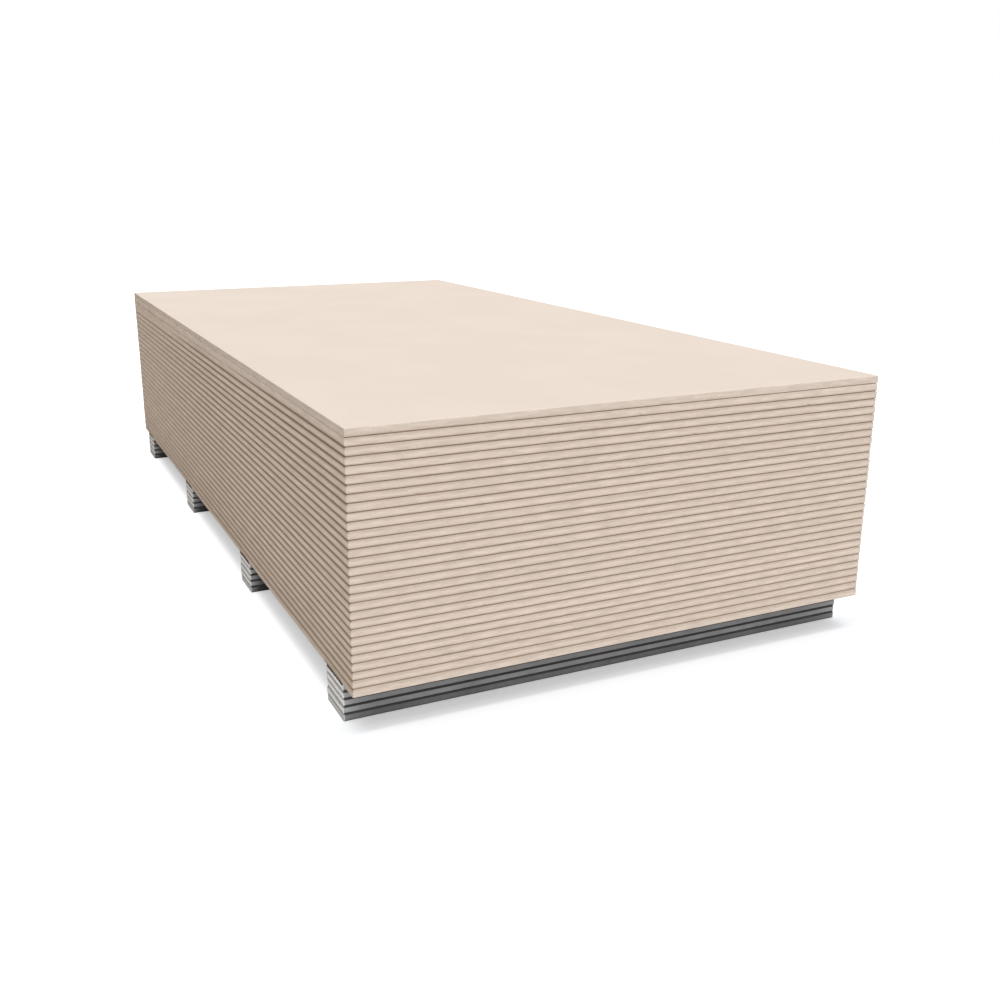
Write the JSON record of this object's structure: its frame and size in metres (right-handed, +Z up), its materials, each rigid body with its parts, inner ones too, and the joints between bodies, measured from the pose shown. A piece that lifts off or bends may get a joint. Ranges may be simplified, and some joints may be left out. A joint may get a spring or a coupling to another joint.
{
  "type": "stack of roof cover boards",
  "caption": "Stack of flat gypsum-fibre roof cover boards, laid flush on one another on cross risers of stacked gypsum strips, with open fork ways beneath.",
  "frame": {"origin": "centre of the stack's footprint, on the floor that the risers stand on", "axes": "+X across the boards, +Y along their length, +Z up"},
  "size_m": [1.2192, 2.4384, 0.5927],
  "materials": {
    "gypsum_fibre": "matte",
    "riser_gypsum": "matte"
  },
  "bodies": {
    "root": {"board_01": "gypsum_fibre", "board_02": "gypsum_fibre", "board_03": "gypsum_fibre", "board_04": "gypsum_fibre", "board_05": "gypsum_fibre", "board_06": "gypsum_fibre", "board_07": "gypsum_fibre", "board_08": "gypsum_fibre", "board_09": "gypsum_fibre", "board_10": "gypsum_fibre", "board_11": "gypsum_fibre", "board_12": "gypsum_fibre", "board_13": "gypsum_fibre", "board_14": "gypsum_fibre", "board_15": "gypsum_fibre", "board_16": "gypsum_fibre", "board_17": "gypsum_fibre", "board_18": "gypsum_fibre", "board_19": "gypsum_fibre", "board_20": "gypsum_fibre", "board_21": "gypsum_fibre", "board_22": "gypsum_fibre", "board_23": "gypsum_fibre", "board_24": "gypsum_fibre", "board_25": "gypsum_fibre", "board_26": "gypsum_fibre", "board_27": "gypsum_fibre", "board_28": "gypsum_fibre", "board_29": "gypsum_fibre", "board_30": "gypsum_fibre", "riser_1_strip_1": "riser_gypsum", "riser_1_strip_2": "riser_gypsum", "riser_1_strip_3": "riser_gypsum", "riser_1_strip_4": "riser_gypsum", "riser_1_strip_5": "riser_gypsum", "riser_2_strip_1": "riser_gypsum", "riser_2_strip_2": "riser_gypsum", "riser_2_strip_3": "riser_gypsum", "riser_2_strip_4": "riser_gypsum", "riser_2_strip_5": "riser_gypsum", "riser_3_strip_1": "riser_gypsum", "riser_3_strip_2": "riser_gypsum", "riser_3_strip_3": "riser_gypsum", "riser_3_strip_4": "riser_gypsum", "riser_3_strip_5": "riser_gypsum", "riser_4_strip_1": "riser_gypsum", "riser_4_strip_2": "riser_gypsum", "riser_4_strip_3": "riser_gypsum", "riser_4_strip_4": "riser_gypsum", "riser_4_strip_5": "riser_gypsum"}
  },
  "joints": []
}
